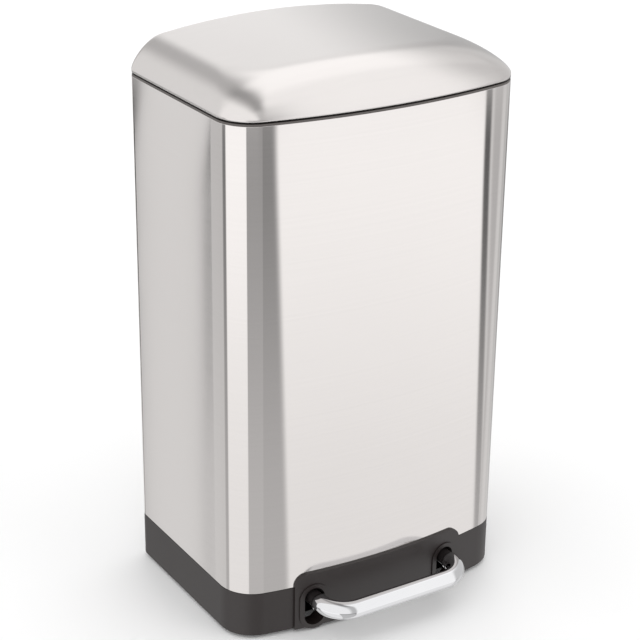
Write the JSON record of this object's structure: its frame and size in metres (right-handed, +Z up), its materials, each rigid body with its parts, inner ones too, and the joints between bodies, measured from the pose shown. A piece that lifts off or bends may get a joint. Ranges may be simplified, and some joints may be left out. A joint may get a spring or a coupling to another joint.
{
  "type": "pedal trash can",
  "caption": "Upright household trash can with a bowed steel body, plastic base, lift-out bucket, front toe bar and a rear-hinged domed lid raised by levers and rods.",
  "frame": {"origin": "centre of the overall box in plan, on the floor under the feet", "axes": "+Z up, -Y towards the bowed front and its toe bar, +X towards the right hand of someone who faces the front"},
  "size_m": [0.34, 0.2898, 0.6123],
  "materials": {
    "brushed_steel": "brushed, satin",
    "lid_steel": "brushed, satin",
    "chrome": "polished",
    "charcoal_plastic": "satin, fine grain",
    "black_plastic": "satin",
    "bucket_plastic": "satin",
    "nylon": "satin",
    "rubber": "matt",
    "zinc_steel": "bright zinc plate",
    "dark_arm": "satin black coat"
  },
  "bodies": {
    "body": {"base_ring": "charcoal_plastic", "base_pan": "black_plastic", "base_shelf": "black_plastic", "rubber_feet": "rubber", "base_screws": "zinc_steel", "pedal_plate": "charcoal_plastic", "pedal_axle": "zinc_steel", "axle_blocks": "black_plastic", "axle_clips": "zinc_steel", "body_shell": "brushed_steel", "rim_ring": "charcoal_plastic", "inner_bucket": "bucket_plastic", "rod_guides_lower": "black_plastic", "rod_guides_upper": "black_plastic", "mechanism_cover": "black_plastic", "hinge_bracket": "zinc_steel", "hinge_pin": "zinc_steel", "hinge_screws": "zinc_steel", "lid_stops": "rubber"},
    "lid": {"lid_shell": "lid_steel", "lid_liner": "black_plastic", "lid_bracket": "zinc_steel", "lid_screws": "zinc_steel"},
    "pedal": {"pedal_bar": "chrome", "pedal_arm_left": "dark_arm", "pedal_arm_right": "dark_arm", "arm_bushes": "nylon", "cross_link": "zinc_steel", "link_clips": "zinc_steel"},
    "lift_rods": {"lift_rod_left": "zinc_steel", "lift_rod_right": "zinc_steel", "rod_clips": "zinc_steel"}
  },
  "joints": [
    {"name": "lid_hinge", "type": "hinge", "parent": "body", "child": "lid", "pos_m": [0, 0.13987, 0.5809], "axis": [-1, 0, 0], "range_deg": [0, 75]},
    {"name": "pedal_hinge", "type": "hinge", "parent": "body", "child": "pedal", "pos_m": [0, -0.01572, 0.039], "axis": [1, 0, 0], "range_deg": [0, 12.44]},
    {"name": "rod_slide", "type": "slide", "parent": "body", "child": "lift_rods", "axis": [0, 0, 1], "range_m": [0, 0.02946]}
  ],
  "couplings": [
    {"joint": "pedal_hinge", "follows": "lid_hinge", "ratio": 0.16577},
    {"joint": "rod_slide", "follows": "lid_hinge", "m_per_rad": 0.0225}
  ]
}
